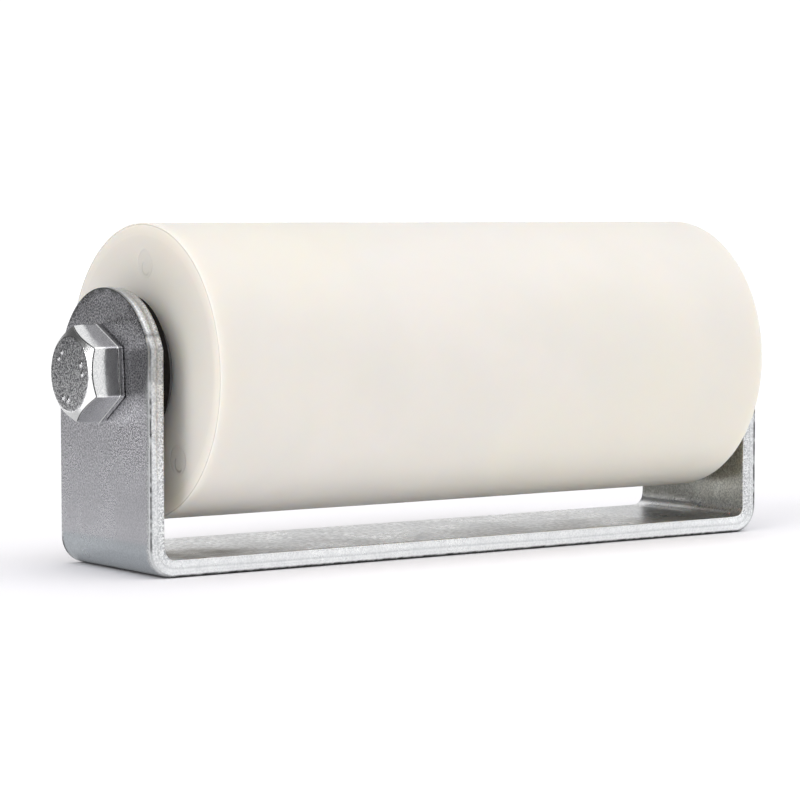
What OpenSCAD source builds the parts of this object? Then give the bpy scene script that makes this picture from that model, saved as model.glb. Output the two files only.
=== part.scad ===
// Bow roller: a solid plastic roller that turns on a bolt between the two ears of a
// bent flat-bar bracket. Millimetres. The origin is the centre of the underside of the
// bracket's base, +Z is up and the roller's axis runs along X.

/* [Bracket] */
// Width of the flat bar
bar_w = 50; // [44:1:60]
// Thickness of the flat bar
bar_t = 5; // [4:0.5:6]
// Length of the bracket over its two ears
bracket_len = 222; // [222:1:226]
// Outer radius of the two bends
bend_r = 8; // [7:0.5:10]
// Height of the tip of each ear above the base's underside
ear_top = 80; // [76:1:84]
// Radius of the sheared tip of each ear
ear_tip_r = 25.8; // [25.2:0.1:27]
// Sideways offset of the tip's arc from the bar's middle
ear_tip_offset = -0.8; // [-1.5:0.1:0]
// Diameter of the bolt hole in each ear
ear_hole_d = 17; // [17:0.5:18]

/* [Roller] */
// Diameter of the roller
roller_d = 84; // [70:1:90]
// Length of the roller
roller_len = 197; // [190:1:198]
// Height of the roller's axis above the base's underside
axis_z = 56; // [54:1:60]
// Width of the small chamfer on the roller's two rims
rim_chamfer = 0.5; // [0.4:0.1:2]
// Diameter of the roller's middle bore, which clears the spacer tube
core_bore_d = 25; // [24:0.5:27]

/* [Flanged bushes] */
// Outer diameter of a bush's body, pressed into the roller
bush_d = 28; // [27.5:0.5:32]
// Length of a bush's body inside the roller
bush_len = 30; // [20:1:40]
// Outer diameter of a bush's flange
flange_d = 34; // [32:1:40]
// End float between each flange and its washer
end_float = 0.3; // [0.2:0.05:0.5]

/* [Spacer tube and washers] */
// Outer diameter of the spacer tube that the bushes run on
tube_d = 22; // [21:0.5:24]
// Inner diameter of the spacer tube
tube_bore_d = 16.5; // [16.3:0.1:17]
// Radial running clearance between the tube and the bushes
running_clearance = 0.05; // [0.02:0.01:0.1]
// Outer diameter of the black end washers
washer_d = 44; // [38:1:48]
// Thickness of the black end washers
washer_t = 4; // [3:0.5:4.5]

/* [Bolt and nut] */
// Nominal diameter of the bolt
bolt_d = 16; // [16:0.1:16.2]
// Length of the bolt under its head
bolt_len = 240; // [238:1:245]
// Width across the flats of the head and of the nut
across_flats = 24; // [22:0.5:27]
// Height of the bolt's head
head_h = 10.8; // [10:0.1:11.5]
// Turn of the head's hexagon from corner-up
head_turn = 3.8; // [-30:0.1:30]
// Height of the raised pips on the head
pip_h = 0.3; // [0.2:0.1:0.6]
// Height of the nut over its collar
nut_h = 12.8; // [12:0.2:13]
// Height of the nut's hexagon
nut_hex_h = 9; // [8:0.5:10]
// Outer diameter of the nut's round collar
collar_d = 21.6; // [21:0.2:22.4]

/* [Hidden] */
$fn = 96;

// Outer and inner faces of the ears, as distances from the middle
ear_out = bracket_len / 2;
ear_in = ear_out - bar_t;
// The washers stand against the ears, and the tube spans from washer to washer
washer_in = ear_in - washer_t;
flange_t = washer_in - roller_len / 2 - end_float;
// The bush's bore over the tube
bush_bore_d = tube_d + 2 * running_clearance;
// A cutting body runs this far past the faces it cuts
past = 1;

// Bolt head: washer face, chamfer, and plain pips in pairs round the face
washer_face_d = 22.4;
washer_face_h = 0.6;
head_face_d = 21.6;
hex_chamfer_angle = 30;
pip_d = 1.7;
pip_spacing = 2.8;
pip_ring_r = 7.2;
pip_start = 40;
pip_pairs = 3;
// Bolt end and nut
thread_chamfer = 1.2;
nut_face_d = 22.8;
collar_edge = 1;
ring_d = 19.4;
ring_h = 2.6;
ring_bore_d = bolt_d + 0.04;
ring_recess = 0.4;

// Puts a child, drawn along +Z from its own origin, on the roller's axis at x = at,
// with its +Z turned to +X.
module on_axis(at) {
    translate([at, 0, axis_z])
        rotate([0, 90, 0])
            children();
}

// A round tube or ring along the axis, from x = from to x = to
module axis_ring(from, to, outer_d, inner_d) {
    on_axis(from)
        difference() {
            cylinder(h = to - from, d = outer_d);
            translate([0, 0, -past])
                cylinder(h = to - from + 2 * past, d = inner_d);
        }
}

// One quarter of the bend at the bar's +X end, in the X-Z plane
module bend_section() {
    translate([ear_out - bend_r, bend_r])
        intersection() {
            difference() {
                circle(r = bend_r);
                circle(r = bend_r - bar_t);
            }
            translate([0, -bend_r])
                square([bend_r, bend_r]);
        }
}

// The bent bar seen from the front, in the X-Z plane
module bar_section() {
    translate([-(ear_out - bend_r), 0])
        square([2 * (ear_out - bend_r), bar_t]);
    for (side = [0, 1])
        mirror([side, 0]) {
            bend_section();
            translate([ear_in, bend_r])
                square([bar_t, ear_top - bend_r]);
        }
}

// All that the sheared tips of the ears leave of the bar, seen along X
module ear_outline() {
    tip_z = ear_top - ear_tip_r;
    translate([-ear_out - past, ear_tip_offset, tip_z])
        rotate([0, 90, 0])
            cylinder(h = bracket_len + 2 * past, r = ear_tip_r);
    translate([-ear_out - past, -bar_w / 2 - past, -past])
        cube([bracket_len + 2 * past, bar_w + 2 * past, tip_z + past]);
}

module bracket() {
    color("silver")
        difference() {
            intersection() {
                rotate([90, 0, 0])
                    linear_extrude(height = bar_w, center = true)
                        bar_section();
                ear_outline();
            }
            on_axis(-ear_out - past)
                cylinder(h = bracket_len + 2 * past, d = ear_hole_d);
        }
}

module roller() {
    r = roller_d / 2;
    half = roller_len / 2;
    color("ivory")
        difference() {
            on_axis(-half)
                rotate_extrude()
                    polygon([
                        [0, 0],
                        [r - rim_chamfer, 0],
                        [r, rim_chamfer],
                        [r, roller_len - rim_chamfer],
                        [r - rim_chamfer, roller_len],
                        [0, roller_len]
                    ]);
            on_axis(-half - past)
                cylinder(h = roller_len + 2 * past, d = core_bore_d);
            for (from = [-half - past, half - bush_len])
                on_axis(from)
                    cylinder(h = bush_len + past, d = bush_d);
        }
}

// The flanged bush of the roller's +X end; the flange stands outside the roller
module bush() {
    half = roller_len / 2;
    color("dimgray")
        on_axis(half - bush_len)
            difference() {
                union() {
                    cylinder(h = bush_len + flange_t, d = bush_d);
                    translate([0, 0, bush_len])
                        cylinder(h = flange_t, d = flange_d);
                }
                translate([0, 0, -past])
                    cylinder(h = bush_len + flange_t + 2 * past, d = bush_bore_d);
            }
}

module bush_right() {
    bush();
}

module bush_left() {
    mirror([1, 0, 0])
        bush();
}

module spacer_tube() {
    color("lightsteelblue")
        axis_ring(-washer_in, washer_in, tube_d, tube_bore_d);
}

module end_washer_left() {
    color("#1c1c1c")
        axis_ring(-ear_in, -washer_in, washer_d, ear_hole_d);
}

module end_washer_right() {
    color("#1c1c1c")
        axis_ring(washer_in, ear_in, washer_d, ear_hole_d);
}

// A hexagonal prism from z = 0 to z = height whose corners are cut back by a cone at its
// top, where the flat face left has the diameter face_d
module chamfered_hexagon(height, face_d) {
    corner_d = across_flats / cos(30);
    drop = (corner_d - face_d) / 2 * tan(hex_chamfer_angle);
    intersection() {
        cylinder(h = height, d = corner_d, $fn = 6);
        union() {
            cylinder(h = height - drop, d = corner_d + past);
            translate([0, 0, height - drop])
                cylinder(h = drop, d1 = corner_d, d2 = face_d);
        }
    }
}

// The bolt's head from its seat at z = 0 upwards, with its raised pips
module bolt_head() {
    cylinder(h = washer_face_h, d = washer_face_d);
    translate([0, 0, washer_face_h])
        chamfered_hexagon(head_h - washer_face_h, head_face_d);
    for (i = [0 : pip_pairs - 1], side = [-1, 1])
        rotate([0, 0, pip_start + i * 360 / pip_pairs])
            translate([pip_ring_r, side * pip_spacing / 2, head_h - past])
                cylinder(h = pip_h + past, d = pip_d);
}

module axle_bolt() {
    color("lightgray") {
        translate([-ear_out, 0, axis_z])
            rotate([0, -90, 0])
                rotate([0, 0, head_turn])
                    bolt_head();
        on_axis(-ear_out - washer_face_h)
            cylinder(h = bolt_len + washer_face_h - thread_chamfer, d = bolt_d);
        on_axis(bolt_len - ear_out - thread_chamfer)
            cylinder(h = thread_chamfer, d1 = bolt_d, d2 = bolt_d - 2 * thread_chamfer);
    }
}

module lock_nut() {
    corner_d = across_flats / cos(30);
    color("gainsboro")
        on_axis(ear_out)
            difference() {
                union() {
                    chamfered_hexagon(nut_hex_h, nut_face_d);
                    cylinder(h = nut_h - collar_edge, d = collar_d);
                    translate([0, 0, nut_h - collar_edge])
                        cylinder(h = collar_edge, d1 = collar_d, d2 = collar_d - 2 * collar_edge);
                }
                translate([0, 0, -past])
                    cylinder(h = nut_h + 2 * past, d = bolt_d + 0.04);
                translate([0, 0, nut_h - ring_h - ring_recess])
                    cylinder(h = ring_h, d = ring_d);
                translate([0, 0, nut_h - ring_recess - past])
                    cylinder(h = ring_recess + 2 * past, d = ring_d - 1);
            }
}

module lock_nut_ring() {
    from = ear_out + nut_h - ring_h - ring_recess;
    color("white")
        axis_ring(from, from + ring_h, ring_d, ring_bore_d);
}

bracket();
roller();
bush_left();
bush_right();
spacer_tube();
end_washer_left();
end_washer_right();
axle_bolt();
lock_nut();
lock_nut_ring();
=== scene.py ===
"""The looks of the bow roller: every CAD node gets a detailed piece that stands for it.

Shapes are worked out in millimetres, in the frame of the CAD model, and become metres when
a mesh is made. X runs along the roller's axis, Z is up and the bolt's head is at -X.
"""
import math

import bmesh
import bpy
import numpy as np
from mathutils import Matrix, Vector


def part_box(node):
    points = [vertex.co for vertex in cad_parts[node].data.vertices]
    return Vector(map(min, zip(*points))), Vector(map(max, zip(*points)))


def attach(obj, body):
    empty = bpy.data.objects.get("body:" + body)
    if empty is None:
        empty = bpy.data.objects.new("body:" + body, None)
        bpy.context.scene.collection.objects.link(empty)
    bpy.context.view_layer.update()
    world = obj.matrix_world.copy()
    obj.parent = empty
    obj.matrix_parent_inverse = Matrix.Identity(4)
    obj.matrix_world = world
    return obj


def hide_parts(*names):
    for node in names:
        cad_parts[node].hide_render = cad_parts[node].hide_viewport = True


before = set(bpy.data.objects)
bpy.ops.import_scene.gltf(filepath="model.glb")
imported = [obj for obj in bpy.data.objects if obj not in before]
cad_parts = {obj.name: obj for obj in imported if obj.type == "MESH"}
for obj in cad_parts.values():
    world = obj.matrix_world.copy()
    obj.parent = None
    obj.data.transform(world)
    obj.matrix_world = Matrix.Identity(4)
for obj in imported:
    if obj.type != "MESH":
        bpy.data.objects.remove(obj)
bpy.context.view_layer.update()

MM = 0.001
TAU = 2 * math.pi


# -------------------- sizes, from the frame

def box_mm(node):
    """The lowest and highest corner of a CAD node, in millimetres."""
    low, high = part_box(node)
    return np.array(low) / MM, np.array(high) / MM


bracket_high = box_mm("bracket")[1]
roller_low, roller_high = box_mm("roller")
bolt_low, bolt_high = box_mm("axle_bolt")
nut_high = box_mm("lock_nut")[1]
ring_low, ring_high = box_mm("lock_nut_ring")
tube_low, tube_high = box_mm("spacer_tube")
bush_low, bush_high = box_mm("bush_right")
washer_low, washer_high = box_mm("end_washer_right")

AXIS_Z = (roller_low[2] + roller_high[2]) / 2
EAR_OUT = bracket_high[0]
EAR_IN = washer_high[0]
BAR_T = EAR_OUT - EAR_IN
BAR_HALF = bracket_high[1]
EAR_TOP = bracket_high[2]
ROLLER_R = (roller_high[2] - roller_low[2]) / 2
ROLLER_HALF = roller_high[0]
WASHER_R = (washer_high[2] - washer_low[2]) / 2
WASHER_IN = washer_low[0]
TUBE_R = (tube_high[2] - tube_low[2]) / 2
FLANGE_R = (bush_high[2] - bush_low[2]) / 2
FLANGE_OUT = bush_high[0]
BOLT_END = bolt_high[0]
NUT_END = nut_high[0]
RING_R = (ring_high[2] - ring_low[2]) / 2

# Sizes that no box shows, as the CAD model has them
BEND_R = 8.0
TIP_R = 25.8
TIP_OFFSET = -0.8
EAR_HOLE_R = 8.5
BOLT_R = 8.0
BUSH_R = 14.0
BUSH_BORE_R = 11.05
BUSH_LEN = 30.0
CORE_BORE_R = 12.5
TUBE_BORE_R = 8.25
ACROSS_FLATS = 24.0
HEAD_TURN = math.radians(3.8)
PIP_H = 0.3
HEAD_H = -bolt_low[0] - EAR_OUT - PIP_H


# -------------------- mesh building

def add_object(name, data):
    """A new object in the scene."""
    obj = bpy.data.objects.new(name, data)
    bpy.context.scene.collection.objects.link(obj)
    return obj


def round_axis(x, r, a):
    """Points at the distance r from the roller's axis, at the angle a from +Y."""
    x, r, a = np.broadcast_arrays(x, r, a)
    return np.stack([x, r * np.cos(a), AXIS_Z + r * np.sin(a)], -1)


def round_bolt(x, r, a):
    """The same for the bolt and its nut, whose angles start from +Z."""
    x, r, a = np.broadcast_arrays(x, r, a)
    return np.stack([x, r * np.sin(a), AXIS_Z + r * np.cos(a)], -1)


class Shell:
    """Gathers grids of points, in millimetres, into one closed mesh. Each point also has
    a tone, one number or three, which scales its material's colour and carries painted light
    and shade besides real tones; a patch from 0 to 1, which brings in its material's second
    finish; a grain, the strength of its fine speckle; a coarse, the strength of its large
    speckle; and the painted contact shadow, from 0 to 1, which takes its shine away."""

    def __init__(self):
        self.points = []
        self.faces = []
        self.paints = {"tone": [], "patch": [], "grain": [], "coarse": [], "contact_shade": []}
        self.count = 0

    def add(self, grid, wrap_u=False, wrap_v=False, tone=1.0, patch=0.0, grain=1.0, coarse=0.0,
            contact_shade=0.0):
        """Adds a grid of points (rows, columns, 3) as quads, closed round either way."""
        rows, cols = grid.shape[:2]
        tone = np.asarray(tone, float)
        if tone.ndim != 1 and tone.ndim != 3:
            tone = tone[..., None]
        self.paints["tone"].append(np.broadcast_to(tone, (rows, cols, 3)).reshape(-1))
        numbers = {"patch": patch, "grain": grain, "coarse": coarse, "contact_shade": contact_shade}
        for key, value in numbers.items():
            self.paints[key].append(np.broadcast_to(value, (rows, cols)).reshape(-1))
        index = np.arange(rows * cols).reshape(rows, cols) + self.count
        if wrap_u:
            index = np.vstack([index, index[:1]])
        if wrap_v:
            index = np.hstack([index, index[:, :1]])
        quads = np.stack([index[:-1, :-1], index[1:, :-1], index[1:, 1:], index[:-1, 1:]], -1)
        self.points.append(grid.reshape(-1, 3))
        self.faces.append(quads.reshape(-1, 4))
        self.count += rows * cols

    def build(self, name, sharp_deg=32):
        """Makes the object, with its seams welded and its normals pointing out."""
        points = np.concatenate(self.points) * MM
        faces = np.concatenate(self.faces)
        mesh = bpy.data.meshes.new(name)
        mesh.from_pydata(points.tolist(), [], faces.tolist())
        for key, values in self.paints.items():
            kind, field = ("FLOAT_VECTOR", "vector") if key == "tone" else ("FLOAT", "value")
            layer = mesh.attributes.new(key, kind, "POINT")
            layer.data.foreach_set(field, np.concatenate(values).astype(np.float32))
        work = bmesh.new()
        work.from_mesh(mesh)
        bmesh.ops.remove_doubles(work, verts=work.verts, dist=2e-6)
        bmesh.ops.dissolve_degenerate(work, edges=work.edges, dist=1e-7)
        bmesh.ops.recalc_face_normals(work, faces=work.faces)
        work.to_mesh(mesh)
        work.free()
        mesh.polygons.foreach_set("use_smooth", np.ones(len(mesh.polygons), bool))
        mesh.set_sharp_from_angle(angle=math.radians(sharp_deg))
        return add_object(name, mesh)


def stand_for(obj, node, body, material):
    """Puts a finished piece in the place of a CAD node."""
    obj.data.materials.append(material)
    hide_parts(node)
    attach(obj, body)


def filleted(corners, radii, step_deg=15):
    """A closed polygon's points, with each corner rounded to its own radius."""
    corners = [np.array(c, float) for c in corners]
    out = []
    for i, corner in enumerate(corners):
        radius = radii[i]
        to_last = corners[i - 1] - corner
        to_next = corners[(i + 1) % len(corners)] - corner
        to_last /= np.linalg.norm(to_last)
        to_next /= np.linalg.norm(to_next)
        half = math.acos(np.clip(to_last @ to_next, -1, 1)) / 2
        if radius <= 0 or abs(half - math.pi / 2) < 1e-3:
            out.append(corner)
            continue
        centre = corner + (to_last + to_next) / np.linalg.norm(to_last + to_next) * radius / math.sin(half)
        start = corner + to_last * radius / math.tan(half) - centre
        sweep = math.pi - 2 * half
        turn = np.sign(start[0] * (corner - centre)[1] - start[1] * (corner - centre)[0])
        steps = max(2, math.ceil(math.degrees(sweep) / step_deg))
        for k in range(steps + 1):
            a = turn * sweep * k / steps
            c, s = math.cos(a), math.sin(a)
            out.append(centre + np.array([c * start[0] - s * start[1], s * start[0] + c * start[1]]))
    return np.array(out)


def subdivided(profile, longest):
    """A closed polyline with no side longer than the given length."""
    out = []
    for a, b in zip(profile, np.roll(profile, -1, axis=0)):
        parts = max(1, math.ceil(np.linalg.norm(b - a) / longest))
        out.extend(a + (b - a) * k / parts for k in range(parts))
    return np.array(out)


def turned_piece(name, profile, turns, wobble=None):
    """A closed (x, r) profile turned about the roller's axis, as an object.
    wobble(r, angle) may give a small change of r."""
    angle = np.linspace(0, TAU, turns, endpoint=False)
    x, r, a = np.broadcast_arrays(profile[:, :1], profile[:, 1:2], angle)
    if wobble:
        r = r + wobble(r, a)
    shell = Shell()
    shell.add(round_axis(x, r, a), wrap_u=True, wrap_v=True)
    return shell.build(name)


def waves(seed, count, low, high):
    """A smooth random function of one variable: a sum of sines, repeatable by its seed."""
    rng = np.random.default_rng(seed)
    freq = rng.uniform(low, high, count)
    phase = rng.uniform(0, TAU, count)
    size = rng.uniform(0.4, 1, count)
    size /= size.sum()

    def value(t):
        t = np.asarray(t, float)
        return (np.sin(t[..., None] * freq + phase) * size).sum(-1)

    return value


def bump_step(t, low, high):
    """0 below low, 1 above high and a smooth slope between."""
    k = np.clip((t - low) / (high - low), 0, 1)
    return k * k * (3 - 2 * k)


# -------------------- bracket

BASE_HALF = EAR_OUT - BEND_R
NEUTRAL_R = BEND_R - BAR_T / 2
BEND_LEN = NEUTRAL_R * math.pi / 2
TIP_Z = EAR_TOP - TIP_R
TIP_S = BASE_HALF + BEND_LEN + TIP_Z - BEND_R
HOLE_S = BASE_HALF + BEND_LEN + AXIS_Z - BEND_R
# The ears' faces are built round their holes from this far below them
HOLE_ZONE = 16
# Mesh spacing along the bar, and number of columns across it
STEP = 0.9
COLUMNS = 40
# The rolled-over corner is narrower along the back edge and round the tips
BACK_ROLL = 0.3
# Where the stain at the front of the left bend is darkest
STAIN_X = -BASE_HALF + 9
STAIN_Y = -BAR_HALF + 11
# Heights of the bright line pressed into the right bend and of the painted highlight along the bends' foot
PRESSED_Z = 6.0
FOOT_HIGHLIGHT_Z = 7.0
# Heights of the painted highlight and of the dark line on the ears' edges, and the tips' tone, darkened as
# painted shade
KINK_HIGHLIGHT_Z = 65
DARK_LINE_Z = 67.3
TIP_SHADE = 0.61
INNER_GRAIN = 0.4

# The sheared edge's section, from the outer face to the inner face, as (inset, height,
# tone, grain). It has a rolled-over corner, a notch, a smooth band, a torn band and a lip.
# Its tones are partly the bands' own and partly painted light, and the lip's are a painted highlight.
EDGE_SECTION = [
    (1.3, 0.0, 0.9, 0.2), (1.0, 0.02, 0.95, 0.2), (0.7, 0.06, 1.0, 0.1), (0.42, 0.13, 1.1, 0.05),
    (0.2, 0.2, 1.15, 0.0), (0.1, 0.26, 1.05, 0.0), (0.08, 0.34, 1.0, 0.0), (0.08, 0.7, 1.0, 0.0),
    (0.02, 0.78, 1.2, 0.05), (0.0, 1.0, 1.3, 0.1), (0.0, 1.5, 1.34, 0.1), (0.0, 1.66, 1.24, 0.1),
    (0.0, 1.85, 1.34, 0.1), (0.0, 2.3, 1.34, 0.1), (0.04, 2.5, 1.16, 0.1), (0.1, 2.7, 1.18, 0.1),
    (0.14, 3.0, 1.3, 0.15), (0.16, 3.5, 1.32, 0.18), (0.15, 4.25, 1.3, 0.22), (0.13, 4.5, 1.2, 0.35),
    (0.16, 4.72, 1.42, 0.2), (0.34, 4.93, 1.46, 0.1), (0.6, 5.0, 1.1, 0.3),
]
# The rolled-over corner ends at this height, and the notch lies between these two
ROLL_END = 0.3
NOTCH_LOW, NOTCH_HIGH = 0.3, 0.8


def bent(s, w, n):
    """The place of a point of the flat blank once the bar is bent.
    s runs along the bar from its middle, w across it and n from the outer face inwards."""
    side = np.where(s < 0, -1.0, 1.0)
    a = np.abs(s)
    # The bar's edges bulge at the inside of a bend and draw in at its outside
    near_bend = np.exp(-((a - BASE_HALF - BEND_LEN / 2) / 5.0) ** 2)
    near_edge = np.clip(np.abs(w) / BAR_HALF, 0, 1) ** 10
    w = w + np.sign(w) * near_bend * near_edge * (0.55 * (n / BAR_T) - 0.15)
    n = n + near_bend * near_edge * 0.25 * (n / BAR_T)
    phi = np.clip((a - BASE_HALF) / NEUTRAL_R, 0, math.pi / 2)
    up = np.maximum(a - BASE_HALF - BEND_LEN, 0)
    along = np.minimum(a, BASE_HALF)
    r = BEND_R - n
    x = along + r * np.sin(phi)
    z = BEND_R - r * np.cos(phi) + up
    return np.stack([side * x, w, z], -1)


def tip_outline(step):
    """The edge of one ear beyond TIP_S, from w = -BAR_HALF round to +BAR_HALF: points
    (s, w) and their outward normals."""
    drop = math.acos((-BAR_HALF - TIP_OFFSET) / TIP_R)
    angle = np.linspace(drop, 0, max(8, round(TIP_R * drop / step)))
    corner_s = TIP_S + TIP_R * math.sin(drop)
    side_s = np.linspace(TIP_S, corner_s, max(3, round((corner_s - TIP_S) / step)))[:-1]
    side = np.stack([side_s, np.full_like(side_s, -BAR_HALF)], -1)
    arc = np.stack([TIP_S + TIP_R * np.sin(angle), TIP_OFFSET + TIP_R * np.cos(angle)], -1)
    side_normal = np.tile([0.0, -1.0], (len(side), 1))
    arc_normal = np.stack([np.sin(angle), np.cos(angle)], -1)
    return np.concatenate([side, arc]), np.concatenate([side_normal, arc_normal])


def distance_along(points):
    """How far each point of an outline is from its start, along it."""
    return np.concatenate([[0], np.cumsum(np.linalg.norm(np.diff(points, axis=0), axis=1))])


def edge_strip(points, normals, seed, roll, notched, contact_shade, tint, speckle):
    """The sheared edge along an outline: a grid (section, along, 3) of (s, w, n), its tones
    and its grains. roll is the width of the rolled-over corner, 1 for its full width;
    notched, from 0 to 1 along the outline, opens the ragged notch, and the next argument,
    also from 0 to 1, paints the corner dark as a contact shadow; tint and speckle scale the
    tone and the grain along the outline."""
    length = distance_along(points)
    # The unevenness fades out at both ends, where the next strip begins
    fade = bump_step(np.minimum(length, length[-1] - length), 0, 2)
    ragged = fade * waves(seed, 14, 0.4, 3.2)(length)
    slow = fade * waves(seed + 1, 6, 0.03, 0.2)(length)
    fine = fade * waves(seed + 3, 16, 2.0, 9.0)(length)
    dashes = fade * notched * bump_step(waves(seed + 2, 12, 0.5, 5.0)(length), -0.25, -0.05)
    dashes = dashes * (0.8 + 0.5 * fine)
    rows = []
    tones = []
    grains = []
    for inset, height, tone, grain in EDGE_SECTION:
        rolled = roll if height < ROLL_END else 1.0
        torn = 0.07 * ragged * bump_step(height, 2.4, 3.2) * bump_step(BAR_T - height, 0.1, 0.6)
        ridge = 0.25 * slow * bump_step(height, 1.6, 2.9) * bump_step(BAR_T - height, 0.6, 2.0)
        cut = dashes if NOTCH_LOW < height < NOTCH_HIGH else 0 * dashes
        ridge = ridge + 0.12 * fine * (NOTCH_LOW < height < 1)
        # The lowest rows are painted dark, as a contact shadow where the edge nearly meets the floor
        corner_shade = 0.97 * contact_shade * (1 - bump_step(height, 0.55 + 0.2 * ragged, 0.95 + 0.2 * ragged))
        place = points - normals * (inset * rolled + torn + 0.25 * cut)[:, None]
        rows.append(np.concatenate([place, (height * rolled + ridge)[:, None]], -1))
        tones.append(tone * tint * (1 - 0.88 * cut) * (1 - corner_shade) * (1 + 0.08 * ragged * (height > 2.6)))
        grains.append(grain * speckle * np.ones(len(points)))
    return np.stack(rows), np.stack(tones), np.stack(grains)


def stain(points):
    """How stained the bar's inner faces are: in front of the left bend and on the right ear."""
    x, y, z = np.moveaxis(points, -1, 0)
    along = np.where(x < STAIN_X, (x - STAIN_X) / 8, (x - STAIN_X) / 18)
    pool = 1.9 * np.exp(-along ** 2 - ((y - STAIN_Y) / 10) ** 2) * bump_step(16 - z, 0, 9)
    ear = 0.3 * bump_step(x, 92, 105) * bump_step(52 - z, 0, 24)
    return np.clip(np.maximum(pool, ear * (1 - pressed_line(points))), 0, 1)


def pressed_line(points):
    """The bright line that the press left where the right bend begins, towards the back."""
    x, y, z = np.moveaxis(points, -1, 0)
    return np.exp(-((z - PRESSED_Z) / 1.5) ** 2) * bump_step(y, -6, 10) * bump_step(x, 98, 104)


def inner_tone(points):
    """The inner faces: the ears, as painted light, brighter towards the front, most so low down,
    and slightly olive; bright along the pressed line, and along the bends' foot as a painted
    highlight."""
    y, z = points[..., 1], points[..., 2]
    ear = bump_step(z, BAR_T + 1, BAR_T + 5)
    front = bump_step(-y, -8, 16)
    low = 1 - bump_step(z, 10, 26)
    foot = np.exp(-(z - FOOT_HIGHLIGHT_Z) ** 2)
    level = 1 + ear * (0.55 * front - 0.35 + low * (0.3 * front - 0.16))
    level = level + 0.8 * (pressed_line(points) + foot)
    olive = 1 - np.array([0.0, 0.0, 0.08]) * ear[..., None]
    return level[..., None] * olive


def on_base(points):
    """1 on the upper face of the base, fading to 0 towards the bends."""
    x = points[..., 0]
    return (1 - bump_step(x, 66, 88)) * bump_step(x, -BASE_HALF - 1, -BASE_HALF + 4)


# How bright the outer face is, by height, as painted reflection and shade: (height, level)
OUTER_SHADING = [
    (0, 0.72), (20, 0.70), (34, 0.83), (47, 1.02), (51, 0.63), (61, 0.63), (67, 1.1), (80, 1.14)
]


def outer_contact_shade(points):
    """1 where the outer face nearly touches the floor, a painted contact shadow, and 0.85 along the back of
    the left bend, which is darker there.
    """
    x, y, z = np.moveaxis(points, -1, 0)
    contact = 1 - bump_step(z, 0.5, 0.9)
    back = bump_step(y, BAR_HALF - 1.4, BAR_HALF - 0.5) * (1 - bump_step(z, 7, 11)) * (x < 0)
    return np.maximum(contact, 0.85 * back)


def outer_tone(points):
    """The outer face: painted reflection and shade by height, a bluish painted reflection of the floor's
    shade at the bends, and dark near the floor as a painted contact shadow and along the back of the left
    bend.
    """
    z = points[..., 2]
    bend = 1 - bump_step(z, BEND_R + 0.5, BEND_R + 2.5)
    plain = np.array([1.0, 0.98, 1.02])
    floor_reflection = np.array([0.86, 0.90, 0.94])
    level = np.interp(z, [h for h, _ in OUTER_SHADING], [k for _, k in OUTER_SHADING])
    unshaded = 1 - 0.95 * outer_contact_shade(points)
    return (plain + (floor_reflection - plain) * bend[..., None]) * (level * unshaded)[..., None]


def outer_grain(points):
    """The plating's speckle grows towards the ears' tips."""
    return 0.12 + 1.0 * bump_step(points[..., 2], 6, EAR_TOP - 14)


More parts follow.
